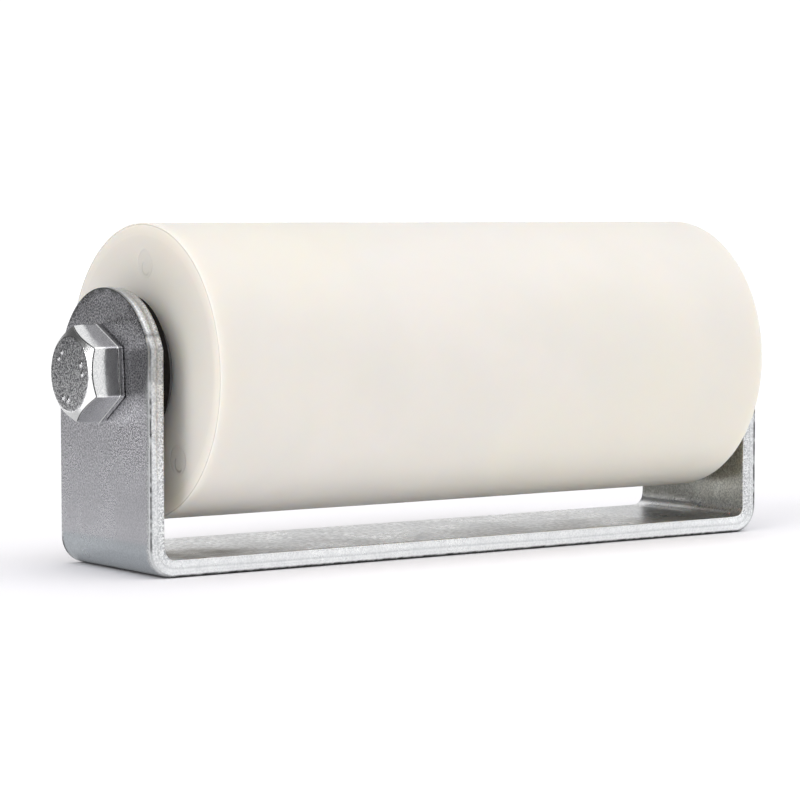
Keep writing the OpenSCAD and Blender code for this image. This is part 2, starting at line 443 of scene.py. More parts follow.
def make_bracket():
    """The bent bar: its sheared edges, its broad faces and the holes in its ears."""
    shell = Shell()
    stations = np.linspace(-TIP_S, TIP_S, 2 * round(TIP_S / STEP) + 1)
    inset_out = EDGE_SECTION[0][0]
    inset_in = EDGE_SECTION[-1][0]

    def place(grid):
        return bent(grid[..., 0], grid[..., 1], grid[..., 2])

    def add_face(grid, outer, wrap_v=False):
        """Adds a broad face, given on the flat blank, with the paints of its side."""
        face = place(grid)
        if outer:
            shell.add(face, wrap_v=wrap_v, tone=outer_tone(face), grain=outer_grain(face),
                      contact_shade=outer_contact_shade(face))
        else:
            shell.add(face, wrap_v=wrap_v, tone=inner_tone(face), patch=stain(face),
                      grain=INNER_GRAIN, coarse=on_base(face))

    # The two long edges
    reach = np.abs(stations)
    notched = bump_step(reach, BASE_HALF + BEND_LEN * 0.7, BASE_HALF + BEND_LEN + 2)
    notched = notched * (1 - 0.8 * bump_step(reach, TIP_S - 5, TIP_S - 1))
    on_ear = bump_step(reach, BASE_HALF, BASE_HALF + BEND_LEN)
    # The ears' edges are painted darker than the base's, as shade, and speckle more
    tint = 1.0 - 0.14 * on_ear
    speckle = 0.3 + 2.2 * on_ear
    # Painted contact shadow darkens the long edges' lowest rows: along the base at the front, and at the back
    # also most of the way round the bends
    contact_shade_back = 1 - bump_step(reach, BASE_HALF + BEND_LEN * 0.8, BASE_HALF + BEND_LEN * 1.1)
    contact_shade = 1 - bump_step(reach, BASE_HALF, BASE_HALF + BEND_LEN * 0.5)
    for sign, seed in ((-1, 11), (1, 23)):
        line = np.stack([stations, np.full_like(stations, sign * BAR_HALF)], -1)
        out = np.tile([0.0, float(sign)], (len(line), 1))
        roll = 1.0 if sign < 0 else BACK_ROLL
        strip, tones, grains = edge_strip(
            line, out, seed, roll, notched, contact_shade if sign < 0 else contact_shade_back, tint, speckle)
        shell.add(place(strip), tone=tones, grain=grains)
    # The two broad faces between the ears' tips
    for n, front, back in ((0.0, inset_out, inset_out * BACK_ROLL), (BAR_T, inset_in, inset_in)):
        w = np.linspace(-BAR_HALF + front, BAR_HALF - back, COLUMNS + 1)
        middle = stations[reach <= HOLE_S - HOLE_ZONE]
        s_mid, w_mid = np.meshgrid(middle, w, indexing="ij")
        add_face(np.stack([s_mid, w_mid, np.full_like(s_mid, n)], -1), n == 0.0)
    # Each ear's tip: its edge, its two faces round the hole, and the hole's wall
    low_s = stations[reach <= HOLE_S - HOLE_ZONE].max()
    side_s = stations[stations >= low_s - 1e-6]
    tip, tip_normal = tip_outline(STEP)
    tip_roll = BACK_ROLL + (1 - BACK_ROLL) * (1 - bump_step(distance_along(tip), 0, 4))
    for side in (-1, 1):
        up = tip[:, 0] - TIP_S + TIP_Z
        front = bump_step(-tip[:, 1], 15, 18)
        # A painted highlight and a dark line cross the edge at its front corner
        dent = 0.16 * np.exp(-((up - KINK_HIGHLIGHT_Z) / 1.3) ** 2)
        dark_line = 0.3 * np.exp(-((up - DARK_LINE_Z) / 0.5) ** 2)
        notched = 0.5 * np.ones(len(tip))
        strip, tones, grains = edge_strip(
            tip, tip_normal, 37 + side, tip_roll, notched, 0 * notched,
            TIP_SHADE + front * (dent - dark_line), 2.0)
        strip[..., 0] *= side
        shell.add(place(strip), tone=tones, grain=grains)
        hole_angles = {}
        for n, hole_inset in ((0.0, 0.5), (BAR_T, 0.3)):
            if n == 0.0:
                front, back, arc_inset = inset_out, inset_out * BACK_ROLL, inset_out * tip_roll
            else:
                front = back = inset_in
                arc_inset = inset_in * np.ones(len(tip))
            w = np.linspace(-BAR_HALF + front, BAR_HALF - back, COLUMNS + 1)[1:-1]
            up = np.stack([side_s, np.full_like(side_s, -BAR_HALF + front)], -1)
            down = np.stack([side_s[::-1], np.full_like(side_s, BAR_HALF - back)], -1)
            arc = (tip - tip_normal * arc_inset[:, None])[1:-1]
            foot = np.stack([np.full_like(w, low_s), w[::-1]], -1)
            loop = np.concatenate([up, arc, down, foot])
            angle = np.arctan2(loop[:, 1], loop[:, 0] - HOLE_S)
            hole_angles[n] = angle
            ring = EAR_HOLE_R + hole_inset
            hole = np.stack([HOLE_S + ring * np.cos(angle), ring * np.sin(angle)], -1)
            k = (np.linspace(0, 1, 12) ** 1.2)[:, None, None]
            rows = hole[None] * (1 - k) + loop[None] * k
            rows = np.concatenate([rows, np.full(rows.shape[:2] + (1,), n)], -1)
            rows[..., 0] *= side
            add_face(rows, n == 0.0, wrap_v=True)
        wall = []
        for inset, height in ((0.5, 0.0), (0.15, 0.12), (0.0, 0.5), (0.0, BAR_T - 0.4), (0.3, BAR_T)):
            ring = EAR_HOLE_R + inset
            angle = hole_angles[BAR_T if height == BAR_T else 0.0]
            circle = np.stack([HOLE_S + ring * np.cos(angle), ring * np.sin(angle)], -1)
            circle = np.concatenate([circle, np.full((len(circle), 1), height)], -1)
            circle[..., 0] *= side
            wall.append(circle)
        shell.add(place(np.stack(wall)), wrap_v=True)
    return shell.build("bracket_bar", 40)


# -------------------- roller

# The two ejector marks on each end face: (angle, distance from the axis), and their radius
MARKS = [(math.radians(94), 30.6), (math.radians(231), 30.8)]
MARK_R = 4.1
# The mesh is fine between these radii, where the marks are
MARKED_IN, MARKED_OUT = 25, 36.4
# The end face slopes away towards the rim over this width and by this much
SHOULDER_W = 3.3
SHOULDER_DROP = 0.22
# The end face is this much lower round the bush
DISH = 0.05


def unevenly(total, places, spread, base, extra):
    """Sorted samples of 0..total that crowd round the given places."""
    marks = list(np.linspace(0, total, base, endpoint=False))
    for at in places:
        marks.extend(np.linspace(at - spread, at + spread, extra))
    marks = np.array(sorted(m for m in marks if 0 <= m < total))
    # Samples that nearly coincide are dropped
    closest = total / base / 60
    keep = np.concatenate([[True], np.diff(marks) > closest])
    return marks[keep]


def mould_marks(y, z):
    """How far the end face stands out round its two round ejector marks."""
    lift = np.zeros_like(y)
    for k, (angle, radius) in enumerate(MARKS):
        u = y - radius * math.cos(angle)
        v = z - radius * math.sin(angle)
        d = np.hypot(u, v)
        turn = np.arctan2(v, u)
        uneven = 0.65 + 0.35 * np.sin(turn * 2 + 1.3 * k)
        lift -= (0.12, 0.2)[k] * uneven * np.exp(-((d - MARK_R) / 0.3) ** 2)
        lift += 0.08 * np.exp(-((d - MARK_R - 0.6) / 0.35) ** 2)
        inner = np.hypot(u + 0.3, v + 1.0)
        arc = bump_step(np.cos(turn + 0.9), 0.0, 0.6)
        lift -= (0.1, 0.24)[k] * arc * np.exp(-((inner - 2.1) / 0.28) ** 2)
        lift -= 0.07 * (1 - bump_step(d, MARK_R - 0.5, MARK_R))
    return lift


def make_roller():
    """The roller: its end faces with their marks and rims, its long surface and its bore."""
    shell = Shell()
    angle = unevenly(TAU, [a for a, _ in MARKS], 0.17, 192, 56)
    # The end face, from the bush's seat out to the rim, as (radius, drop)
    inner = np.linspace(BUSH_R + 0.6, MARKED_IN, 6)[:-1]
    marked = np.linspace(MARKED_IN, MARKED_OUT, 44)
    outer = np.linspace(MARKED_OUT, ROLLER_R - SHOULDER_W, 6)[1:]
    face_r = np.concatenate([inner, marked, outer])
    shoulder_t = np.linspace(0, 1, 9)[1:]
    shoulder_r = ROLLER_R - SHOULDER_W + (SHOULDER_W - 0.7) * shoulder_t
    shoulder_drop = SHOULDER_DROP * shoulder_t ** 1.6
    # The rim has a fine dark parting groove: (inset, drop, tone)
    rim = [(0.66, 0.02, 1.0), (0.56, 0.09, 0.8), (0.42, 0.12, 0.7), (0.28, 0.08, 0.8), (0.2, 0.05, 1.0)]
    rim += [(0.06, 0.14, 1.0), (0.0, 0.3, 1.0)]
    rim_r = [ROLLER_R - inset for inset, _, _ in rim]
    rim_drop = [SHOULDER_DROP + drop for _, drop, _ in rim]
    seat = [(BUSH_R, 0.5), (BUSH_R + 0.2, 0.12)]
    r = np.concatenate([[a for a, _ in seat], face_r, shoulder_r, rim_r])
    drop = np.concatenate([[b for _, b in seat], np.zeros_like(face_r), shoulder_drop, rim_drop])
    slow = waves(5, 5, 0.8, 3.5)
    a_grid, r_grid = np.meshgrid(angle, r, indexing="xy")
    y = r_grid * np.cos(a_grid)
    z = r_grid * np.sin(a_grid)
    on_face = r_grid < ROLLER_R - SHOULDER_W
    lift = np.where(on_face, mould_marks(y, z), 0)
    lift -= DISH * bump_step(MARKED_IN - r_grid, 0, 8)
    # Deeper marks are painted darker, as shade in their hollows, and the shoulder a little lighter, as a
    # painted highlight
    tone = 1 + np.where(on_face, 1.5 * np.minimum(lift + 0.05, 0), 0.03)
    tone[-len(rim):] = np.array([t for _, _, t in rim])[:, None]
    for side in (-1, 1):
        x = side * (ROLLER_HALF - drop[:, None] + np.minimum(lift, 0.0))
        shell.add(round_axis(x, r_grid, a_grid), wrap_v=True, tone=tone)
    # The long surface, very slightly uneven as moulded plastic is
    reach = ROLLER_HALF - rim_drop[-1]
    length = np.linspace(-reach, reach, 90)
    x_grid, a_grid = np.meshgrid(length, angle, indexing="ij")
    fade = bump_step(reach - np.abs(x_grid), 0, 6)
    dent = 0.05 * (slow(a_grid * 2 + x_grid * 0.04) - 1) * fade
    shell.add(round_axis(x_grid, ROLLER_R + dent, a_grid), wrap_v=True)
    # The bore: the two bush seats and the wider middle that clears the tube
    seat_x = ROLLER_HALF - seat[0][1] - DISH
    floor_x = ROLLER_HALF - BUSH_LEN
    bore = [(-seat_x, BUSH_R), (-floor_x, BUSH_R), (-floor_x, CORE_BORE_R)]
    bore += [(floor_x, CORE_BORE_R), (floor_x, BUSH_R), (seat_x, BUSH_R)]
    shell.add(np.stack([round_axis(x, r, angle) for x, r in bore]), wrap_v=True)
    return shell.build("roller_body", 24)


# -------------------- washers, bushes and tube

def make_washer(side):
    """A thick washer with rounded edges and a slightly uneven rim."""
    r0, r1 = EAR_HOLE_R, WASHER_R
    corners = [(WASHER_IN, r0), (WASHER_IN, r1), (EAR_IN, r1), (EAR_IN, r0)]
    profile = subdivided(filleted(corners, [0.3, 0.7, 0.7, 0.3]), 2.2)
    profile[:, 0] *= side
    soft = waves(61 + side, 6, 1, 6)

    def wobble(r, a):
        # The faces stay where they meet the ear, and only the rim is uneven
        return 0.07 * (soft(a) - 1) * bump_step(r, r1 - 2, r1)

    name = "end_washer_left_disc" if side < 0 else "end_washer_right_disc"
    return turned_piece(name, profile, 192, wobble)


def make_bush(side):
    """A flanged bush: a body in the roller's seat and a flange outside it."""
    r0, r1, r2 = BUSH_BORE_R, BUSH_R, FLANGE_R
    x0 = ROLLER_HALF - BUSH_LEN
    corners = [(x0, r0), (x0, r1), (ROLLER_HALF, r1), (ROLLER_HALF, r2), (FLANGE_OUT, r2), (FLANGE_OUT, r0)]
    profile = subdivided(filleted(corners, [0.6, 0.8, 0, 0.3, 0.6, 0.5]), 4)
    profile[:, 0] *= side
    name = "bush_left_body" if side < 0 else "bush_right_body"
    return turned_piece(name, profile, 128)


def make_tube():
    """The spacer tube between the two washers."""
    corners = [(-WASHER_IN, TUBE_BORE_R), (-WASHER_IN, TUBE_R), (WASHER_IN, TUBE_R), (WASHER_IN, TUBE_BORE_R)]
    profile = subdivided(filleted(corners, [0.3, 0.5, 0.5, 0.3]), 8)
    return turned_piece("spacer_tube_body", profile, 96)


# -------------------- bolt and nut

HEX_CHAMFER = math.tan(math.radians(30))
# How far a sharp corner would be from the axis, and the radius of the softened corners
HEX_CORNER_R = ACROSS_FLATS / 2 / math.cos(math.pi / 6)
HEX_ROUND = 0.8
# Radii of the head's flat face and of the washer face under it
HEAD_FACE_R = 10.8
WASHER_FACE_R = 11.2
# The flats bow in by this much at the chamfer, and over this share of their height
CROWN = 0.31
CROWN_END = 0.46
# Height of the forging line above the head's seat
FORGE_LINE = 2.0
# The pips stand in pairs, this far from the axis and from each other
PIP_PAIRS = 3
PIP_START = math.radians(40)
PIP_RING_R = 7.2
PIP_SPACING = 2.8
THREAD_PITCH = 2.0
THREAD_LEN = 57.0
THREAD_DEPTH = 1.2
# Mesh rows per turn of the thread, and its share of the head's angles: one in four
THREAD_ROWS = 14
THREAD_SHARE = 4
BOLT_CHAMFER = 1.2
# The thread's colour is painted darker than the head's, as shade, and the nut's lies between them
THREAD_SHADE = 0.75
NUT_SHADE = 0.82
NUT_BORE_R = BOLT_R + 0.02
NUT_FACE_R = 11.4
NUT_HEX_H = 9.0


def hex_radius(angle):
    """The radius of a hexagon, corner at angle 0, with softened corners."""
    folded = (angle + math.pi / 6) % (math.pi / 3) - math.pi / 6
    sharp = ACROSS_FLATS / 2 / np.cos(math.pi / 6 - np.abs(folded))
    # Near a corner the outline follows a small arc instead of the two flats
    arc_c = HEX_CORNER_R - HEX_ROUND / math.cos(math.pi / 6)
    inside = np.maximum(HEX_ROUND ** 2 - (arc_c * np.sin(folded)) ** 2, 0)
    arc = arc_c * np.cos(folded) + np.sqrt(inside)
    limit = math.atan2(HEX_ROUND * math.sin(math.pi / 6), arc_c + HEX_ROUND * math.cos(math.pi / 6))
    return np.where(np.abs(folded) < limit, np.minimum(arc, sharp), sharp)


def hex_angles(turn):
    """Angles round a hexagon that crowd at its corners."""
    fine = []
    for k in range(6):
        t = np.linspace(-1, 1, 46, endpoint=False)
        fine.extend(k * math.pi / 3 + math.pi / 6 * np.sign(t) * np.abs(t) ** 1.5)
    return np.sort(np.array(fine) % TAU) + turn


def pip_lift(y, z):
    """Height, from 0 to 1, of the plain round pips in pairs round the head's face."""
    lift = np.zeros_like(y)
    for pair in range(PIP_PAIRS):
        a = HEAD_TURN + PIP_START + pair * TAU / PIP_PAIRS
        outward = y * math.sin(a) + z * math.cos(a) - PIP_RING_R
        across = y * math.cos(a) - z * math.sin(a)
        for side in (-PIP_SPACING / 2, PIP_SPACING / 2):
            d = np.hypot(outward, across - side)
            lift = np.maximum(lift, 1 - bump_step(d, 0.3, 0.95))
    return lift


def make_bolt():
    """Hexagon head with its chamfer, forging line, washer face and pips; shank; thread."""
    shell = Shell()
    angle = hex_angles(HEAD_TURN)
    face_r = HEAD_FACE_R
    outline = hex_radius(angle - HEAD_TURN)
    top = HEAD_H
    # The facet that looks down and forwards is painted darker, as shade, and so is the chamfer's lower part;
    # the rest of the chamfer is painted brighter, as a highlight
    around = np.degrees(angle - HEAD_TURN) % 360
    facet_tone = 1 - 0.42 * bump_step(around, 178, 184) * bump_step(242 - around, 0, 4)
    chamfer_tone = 1.25 - 0.7 * bump_step(218 - around, 0, 24) * bump_step(around, 120, 150)
    rows = []
    tones = []
    patches = []

    def ring(radius, height, tone=1.0, patch=0.0):
        """One loop of the head: radius from the axis, height above its seat."""
        rows.append(round_bolt(-(EAR_OUT + height), radius, angle))
        tones.append(np.broadcast_to(tone, angle.shape))
        patches.append(np.broadcast_to(patch, angle.shape))

    ring(0.0, top, patch=1.0)
    for radius in np.linspace(0.4, face_r - 0.5, 60):
        lift = pip_lift(radius * np.sin(angle), radius * np.cos(angle))
        ring(radius, top + PIP_H * lift, patch=1 - 0.7 * lift)
    # A soft edge, then the chamfer's cone out to the hexagon
    ring(face_r - 0.2, top - 0.05, patch=0.6)
    ring(face_r, top - 0.2, tone=chamfer_tone)
    chamfer_end = outline - CROWN - 0.16
    for t in np.linspace(0, 1, 9)[1:]:
        reach = face_r + (chamfer_end - face_r) * t
        ring(reach, top - 0.2 - (reach - face_r) * HEX_CHAMFER, tone=chamfer_tone)
    # A thin groove, painted dark as shade, parts the chamfer from the flats
    edge_h = top - 0.2 - (chamfer_end - face_r) * HEX_CHAMFER
    ring(chamfer_end - 0.02, edge_h - 0.1, tone=0.15)
    ring(chamfer_end - 0.02, edge_h - 0.3, tone=0.15)
    # The flats, a little crowned towards the chamfer, down to the forging line
    flat_top = edge_h - 0.36
    for t in np.linspace(0, 1, 24):
        height = flat_top * (1 - t) + FORGE_LINE * t
        bow = CROWN * max(0.0, 1 - t / CROWN_END) ** 1.25
        ring(outline - bow, height, tone=facet_tone)
    # The forging line's burr, the band under it and the rounded foot, whose lowest loop is painted darker, as
    # shade where the head sits on the ear
    foot = [(0.14, 1.86, 1.25), (0.18, 1.74, 1.2), (0.06, 1.58, 0.5), (0.08, 1.3, 0.8), (0.1, 0.6, 0.8),
            (0.04, 0.42, 1.2), (-0.14, 0.3, 1.2), (-0.4, 0.26, 0.5)]
    foot_tone = facet_tone * (1 - 0.55 * bump_step(around, 296, 302))
    for grow, height, tone in foot:
        ring(np.minimum(outline + grow, HEX_CORNER_R), height, tone=tone * foot_tone)
    shell.add(np.stack(rows), wrap_v=True, tone=np.stack(tones), patch=np.stack(patches))
    # Under the head, then the shank as far as the thread
    rows.clear()
    ring(outline - 0.4, 0.26)
    ring(WASHER_FACE_R, 0.22)
    ring(WASHER_FACE_R, 0.1)
    ring(WASHER_FACE_R - 0.2, 0.0)
    ring(BOLT_R + 0.5, 0.0)
    ring(BOLT_R, -0.5)
    thread_start = BOLT_END - THREAD_LEN
    # The shank's last loop takes up the thread's fewer angles
    thread_angle = angle[::THREAD_SHARE]
    last_angle = np.repeat(thread_angle, THREAD_SHARE)
    rows.append(round_bolt(thread_start, BOLT_R, last_angle))
    shell.add(np.stack(rows), wrap_v=True)
    # The thread: a 60 degree profile that winds round the shank and fades in at its start
    x = np.arange(thread_start, BOLT_END + 1e-6, THREAD_PITCH / THREAD_ROWS)
    x_grid, a_grid = np.meshgrid(x, thread_angle, indexing="ij")
    phase = (x_grid / THREAD_PITCH + a_grid / TAU) % 1
    groove = np.clip(1 - np.abs(phase - 0.5) / 0.42, 0, 1)
    groove = np.minimum(groove, 0.86) / 0.86
    depth = THREAD_DEPTH * groove * bump_step(x_grid, thread_start + 1, thread_start + 5)
    crest = BOLT_R - depth
    tip_limit = BOLT_R - np.maximum(x_grid - (BOLT_END - BOLT_CHAMFER), 0)
    radius = np.minimum(crest, tip_limit)
    shell.add(round_bolt(x_grid, radius, a_grid), wrap_v=True, tone=THREAD_SHADE)
    # The end of the bolt, slightly hollow
    rows.clear()
    for t in (1.0, 0.96, 0.9, 0.6, 0.3, 0.0):
        sink = 0.0 if t > 0.93 else -0.12 * (1 - t)
        rows.append(round_bolt(BOLT_END + sink, t * radius[-1], thread_angle))
    shell.add(np.stack(rows), wrap_v=True, tone=THREAD_SHADE, patch=0.6)
    return shell.build("axle_bolt_body", 30)


def make_nut():
    """A hexagon nut with a round collar that holds the nylon ring."""
    shell = Shell()
    angle = hex_angles(0.0)
    outline = hex_radius(angle)
    rows = []

    def ring(radius, height):
        """One loop of the nut: radius from the axis, height above its seat."""
        rows.append(round_bolt(EAR_OUT + height, radius, angle))

    total = NUT_END - EAR_OUT
    ring_low_h = ring_low[0] - EAR_OUT
    ring_high_h = ring_high[0] - EAR_OUT
    bore = [(NUT_BORE_R, ring_low_h), (NUT_BORE_R, 1.0), (NUT_BORE_R + 0.9, 0.0)]
    seat = [(WASHER_FACE_R, 0.0), (11.5, 0.15)]
    for radius, height in bore + seat:
        ring(radius, height)
    seat_h = 0.2 + (outline - 11.5) * HEX_CHAMFER
    ring(outline - 0.15, seat_h)
    ring(outline, seat_h + 0.2)
    top_h = NUT_HEX_H - (outline - NUT_FACE_R) * HEX_CHAMFER
    for t in np.linspace(0, 1, 8):
        ring(outline - 0.06 * math.sin(math.pi * t), (seat_h + 0.2) * (1 - t) + (top_h - 0.25) * t)
    ring(outline - 0.12, top_h - 0.05)
    # The flat face, then the collar over its top and down to the ring's seat
    collar = [(NUT_FACE_R, NUT_HEX_H), (10.95, NUT_HEX_H + 0.05), (10.75, NUT_HEX_H + 0.35)]
    collar += [(10.75, total - 1.5), (10.6, total - 0.9), (10.25, total - 0.4), (9.7, total - 0.1)]
    collar += [(9.3, total), (9.15, total - 0.1), (9.15, ring_high_h), (RING_R, ring_high_h)]
    collar += [(RING_R, ring_low_h)]
    for radius, height in collar:
        ring(radius, height)
    shell.add(np.stack(rows), wrap_u=True, wrap_v=True, tone=NUT_SHADE, patch=0.15)
    return shell.build("lock_nut_body", 30)


def make_ring():
    """The nylon ring in the nut's collar."""
    x0, x1 = ring_low[0], ring_high[0]
    corners = [(x0, NUT_BORE_R), (x0, RING_R), (x1, RING_R), (x1, NUT_BORE_R)]
    profile = subdivided(filleted(corners, [0.15, 0.2, 0.2, 0.5]), 0.7)
    return turned_piece("lock_nut_ring_insert", profile, 96)


# -------------------- materials

class Finish:
    """A material with small helpers for its procedural nodes."""

    def __init__(self, name, roughness, metallic=0.0, specular=0.5):
        self.mat = bpy.data.materials.new(name)
        self.mat.use_nodes = True
        self.tree = self.mat.node_tree
        self.bsdf = self.tree.nodes["Principled BSDF"]
        self.set("Roughness", roughness)
        self.set("Metallic", metallic)
        self.set("Specular IOR Level", specular)
        self.place = self.node("ShaderNodeTexCoord").outputs["Object"]
        self.last_bump = None

    def set(self, socket, value):
        """Gives the surface's socket a constant, or a node's output."""
        if isinstance(value, bpy.types.NodeSocket):
            self.link(value, self.bsdf.inputs[socket])
        else:
            self.bsdf.inputs[socket].default_value = value

    def node(self, kind, **constants):
        """A new node, with the constants on its sockets."""
        node = self.tree.nodes.new(kind)
        for socket, value in constants.items():
            node.inputs[socket].default_value = value
        return node

    def link(self, source, target):
        self.tree.links.new(source, target)

    def stretched(self, x, y, z):
        """The object's coordinates, scaled by axis."""
        node = self.node("ShaderNodeMapping", Scale=(x, y, z))
        self.link(self.place, node.inputs["Vector"])
        return node.outputs["Vector"]

    def noise(self, scale, detail=3.0, rough=0.5, distort=0.0, place=None):
        """A noise; the greater its scale, the finer it is."""
        node = self.node("ShaderNodeTexNoise", Scale=scale, Detail=detail, Roughness=rough,
                         Distortion=distort)
        self.link(place or self.place, node.inputs["Vector"])
        return node.outputs["Fac"]

    def remap(self, value, low, high, to_low=0.0, to_high=1.0):
        """A value moved smoothly from one range to another, and kept within it."""
        node = self.node("ShaderNodeMapRange")
        node.interpolation_type = "SMOOTHSTEP"
        self.link(value, node.inputs["Value"])
        for key, number in (("From Min", low), ("From Max", high), ("To Min", to_low), ("To Max", to_high)):
            node.inputs[key].default_value = number
        return node.outputs["Result"]

    def math(self, operation, a, b=0.0):
        """A sum, product or the like of two values or numbers."""
        node = self.node("ShaderNodeMath")
        node.operation = operation
        for socket, value in zip(node.inputs, (a, b)):
            if isinstance(value, (int, float)):
                socket.default_value = value
            else:
                self.link(value, socket)
        return node.outputs[0]

    def blend(self, factor, a, b):
        """A mix of two colours: a where the factor is 0, and b where it is 1."""
        node = self.node("ShaderNodeMix")
        node.data_type = "RGBA"
        self.link(factor, node.inputs["Factor"])
        for socket, value in ((node.inputs[6], a), (node.inputs[7], b)):
            if isinstance(value, tuple):
                socket.default_value = value + (1.0,)
            else:
                self.link(value, socket)
        return node.outputs[2]

    def painted(self, name):
        """What the mesh's points carry by that name."""
        node = self.node("ShaderNodeAttribute")
        node.attribute_name = name
        return node.outputs["Vector" if name == "tone" else "Fac"]

    def toned(self, shade):
        """A colour times the tone that the mesh's points carry."""
        node = self.node("ShaderNodeVectorMath")
        node.operation = "MULTIPLY"
        self.link(shade, node.inputs[0])
        self.link(self.painted("tone"), node.inputs[1])
        return node.outputs["Vector"]

    def bump(self, height, distance, strength=1.0):
        """Adds a bump of the given depth in metres on top of those before it."""
        node = self.node("ShaderNodeBump", Distance=distance, Strength=strength)
        self.link(height, node.inputs["Height"])
        if self.last_bump:
            self.link(self.last_bump, node.inputs["Normal"])
        self.last_bump = node.outputs["Normal"]
        self.set("Normal", self.last_bump)


def zinc_bar():
    """Zinc plating on hot-rolled bar: pale and dark grains, soft clouds and brown stains."""
    m = Finish("zinc_plated_bar", 0.3, metallic=1.0)
    grain = m.noise(1900, 3.0, 0.7)
    fine = m.noise(5200, 1.5, 0.5)
    cloud = m.noise(60, 4.0, 0.6)
    speck = m.remap(grain, 0.38, 0.62)
    smooth = m.blend(speck, (0.60, 0.61, 0.625), (0.68, 0.69, 0.70))
    gritty = m.blend(speck, (0.14, 0.145, 0.16), (1.0, 1.0, 1.0))
    shade = m.blend(m.painted("grain"), smooth, gritty)
    dapple = m.remap(m.noise(620, 2.0, 0.6), 0.42, 0.58)
    streak = m.remap(m.noise(260, 3.0, 0.6, place=m.stretched(0.25, 0.8, 1.0)), 0.35, 0.65, 0.45, 1.0)
    coarse = m.blend(m.math("MULTIPLY", dapple, streak), (0.53, 0.53, 0.525), (1.0, 1.0, 1.0))
    shade = m.blend(m.painted("coarse"), shade, coarse)
    shade = m.blend(m.remap(cloud, 0.3, 0.75, 0.0, 0.3), shade, (0.52, 0.53, 0.55))
    blotch = m.remap(m.noise(190, 4.0, 0.65, 1.0), 0.3, 0.6, 0.6, 1.0)
    rust = m.math("MULTIPLY", m.painted("patch"), blotch)
    shade = m.blend(rust, shade, (0.105, 0.08, 0.04))
    m.set("Base Color", m.toned(shade))
    # Where the painted contact shadow lies, and along the darker back of the left bend, the metal doesn't
    # shine at a shallow angle either
    m.set("Specular Tint", m.blend(m.painted("contact_shade"), (1.0, 1.0, 1.0), (0.0, 0.0, 0.0)))
    m.set("Roughness", m.remap(cloud, 0.25, 0.75, 0.24, 0.36))
    m.bump(grain, 0.00006, 0.9)
    m.bump(fine, 0.00003, 0.7)
    return m.mat


def roller_plastic():
    """Natural polyamide: warm off-white, faintly mottled, with a satin surface."""
    m = Finish("roller_plastic", 0.42, specular=0.4)
    blotch = m.noise(26, 3.0, 0.55, 0.4)
    tint = m.noise(14, 2.0, 0.5)
    shade = m.blend(m.remap(blotch, 0.35, 0.7), (0.73, 0.702, 0.66), (0.755, 0.72, 0.682))
    shade = m.blend(m.remap(tint, 0.4, 0.65, 0.0, 0.5), shade, (0.75, 0.716, 0.62))
    m.set("Base Color", m.toned(shade))
    m.set("Roughness", m.remap(blotch, 0.3, 0.7, 0.38, 0.5))
    m.set("Subsurface Weight", 0.8)
    m.set("Subsurface Radius", (1.0, 0.75, 0.5))
    m.set("Subsurface Scale", 0.008)
    m.bump(m.noise(900, 3.0, 0.6), 0.00002, 0.5)
    return m.mat


def black_washer():
    """Matt black, with a faint mottle."""
    m = Finish("washer_black", 0.7, specular=0.06)
    mottle = m.noise(500, 3.0, 0.6)
    m.set("Base Color", m.blend(m.remap(mottle, 0.35, 0.7), (0.006, 0.005, 0.005), (0.014, 0.012, 0.011)))
    m.set("Roughness", m.remap(mottle, 0.3, 0.7, 0.6, 0.8))
    m.bump(m.noise(1500, 2.0), 0.00004, 0.5)
    return m.mat


def dark_plastic():
    """Dark grey acetal with turning marks."""
    m = Finish("bush_plastic", 0.45)
    mottle = m.noise(300, 3.0)
    m.set("Base Color", m.blend(m.remap(mottle, 0.3, 0.7), (0.10, 0.10, 0.105), (0.14, 0.14, 0.145)))
    m.set("Roughness", m.remap(mottle, 0.3, 0.7, 0.38, 0.52))
    m.bump(m.noise(60, 2.0, place=m.stretched(40, 1, 1)), 0.00002, 0.5)
    return m.mat


def tube_steel():
    """Drawn steel, streaked along its length."""
    m = Finish("tube_steel", 0.35, metallic=1.0)
    drawn = m.noise(120, 4.0, 0.6, place=m.stretched(0.5, 12, 12))
    m.set("Base Color", m.blend(m.remap(drawn, 0.3, 0.7), (0.5, 0.5, 0.52), (0.68, 0.68, 0.69)))
    m.set("Roughness", m.remap(drawn, 0.3, 0.7, 0.28, 0.45))
    m.bump(drawn, 0.00002, 0.6)
    return m.mat


def bright_zinc(name, grain_scale=2500):
    """Bright zinc plating on a forged hexagon: shiny flats with small dents, and a rougher,
    grainy face where the patch is painted."""
    m = Finish(name, 0.14, metallic=1.0)
    grain = m.noise(grain_scale, 2.5, 0.6)
    dent = m.noise(420, 3.0, 0.55)
    shiny = m.blend(m.remap(grain, 0.35, 0.65), (0.80, 0.81, 0.82), (0.97, 0.97, 0.97))
    dull = m.blend(m.remap(grain, 0.38, 0.62), (0.12, 0.12, 0.135), (0.90, 0.90, 0.91))
    face = m.painted("patch")
    m.set("Base Color", m.toned(m.blend(face, shiny, dull)))
    m.set("Roughness", m.remap(face, 0.0, 1.0, 0.11, 0.34))
    m.bump(dent, 0.00010, 0.5)
    m.bump(grain, 0.00006, 0.7)
    return m.mat


def white_nylon():
    """Translucent white polyamide."""
    m = Finish("ring_nylon", 0.4)
    mottle = m.noise(400, 3.0)
    m.set("Base Color", m.blend(m.remap(mottle, 0.3, 0.7), (0.74, 0.73, 0.69), (0.82, 0.81, 0.77)))
    m.set("Subsurface Weight", 0.2)
    m.set("Subsurface Scale", 0.001)
    m.bump(m.noise(900, 2.0), 0.00002, 0.5)
    return m.mat


# -------------------- camera and light

